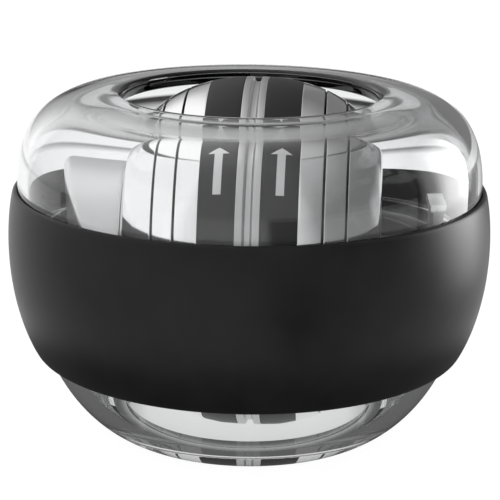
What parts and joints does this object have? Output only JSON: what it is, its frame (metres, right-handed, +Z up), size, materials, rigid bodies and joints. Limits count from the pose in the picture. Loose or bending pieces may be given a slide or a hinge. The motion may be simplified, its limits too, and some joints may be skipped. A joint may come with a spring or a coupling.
{
  "type": "gyroscopic wrist ball",
  "caption": "Hand-held gyroscopic exerciser: a clear open-crowned shell with a grip band holds a ring-borne rotor on an axle with a starting spring.",
  "frame": {"origin": "on the upright centre line, in the plane that the lower crown rests on", "axes": "+Z up through the open crowns, +X along the axle at rest with the starting drum on the -X side, -Y towards the side that the picture shows"},
  "size_m": [0.0698, 0.0698, 0.051],
  "materials": {
    "clear_shell": "clear and polished",
    "band_rubber": "black, satin",
    "black_plastic": "black, satin",
    "silver_plastic": "silver, glossy",
    "rotor_chrome": "polished chrome plate",
    "stripe_black": "dark grey, smooth",
    "steel": "fine turned steel",
    "bronze": "sintered bronze"
  },
  "bodies": {
    "case": {"upper_shell": "clear_shell", "lower_shell": "clear_shell", "upper_race": "clear_shell", "lower_race": "clear_shell", "grip_band": "band_rubber"},
    "carrier": {"carrier_ring": "black_plastic", "right_bushing": "bronze", "left_bushing": "bronze", "axle_clip": "silver_plastic", "spring_housing": "silver_plastic", "housing_cover": "silver_plastic", "mainspring": "steel"},
    "rotor": {"rotor_core": "rotor_chrome", "rotor_left_half": "rotor_chrome", "rotor_right_half": "rotor_chrome", "left_stripe_band": "stripe_black", "right_stripe_band": "stripe_black", "axle": "steel", "left_spacer": "black_plastic", "right_spacer": "black_plastic", "ratchet_ring": "steel", "rotor_screw_1": "steel", "rotor_screw_2": "steel", "rotor_screw_3": "steel"},
    "clutch": {"spring_arbor": "silver_plastic", "pawl_pin": "steel"},
    "pawl": {"pawl": "steel"}
  },
  "joints": [
    {"name": "ring_turn", "type": "hinge", "parent": "case", "child": "carrier", "pos_m": [0, 0, 0.02567], "axis": [0, 0, 1], "continuous": true},
    {"name": "rotor_spin", "type": "hinge", "parent": "carrier", "child": "rotor", "pos_m": [0, 0, 0.02567], "axis": [1, 0, 0], "continuous": true},
    {"name": "spring_wind", "type": "hinge", "parent": "carrier", "child": "clutch", "pos_m": [-0.02, 0, 0.02567], "axis": [1, 0, 0], "range_deg": [-540, 0], "stiffness_Nm_per_rad": 0.002, "deforming": ["mainspring"]},
    {"name": "pawl_click", "type": "hinge", "parent": "clutch", "child": "pawl", "pos_m": [-0.0133, 0, 0.02997], "axis": [1, 0, 0], "range_deg": [-22, 0], "stiffness_Nm_per_rad": 0.0002}
  ]
}
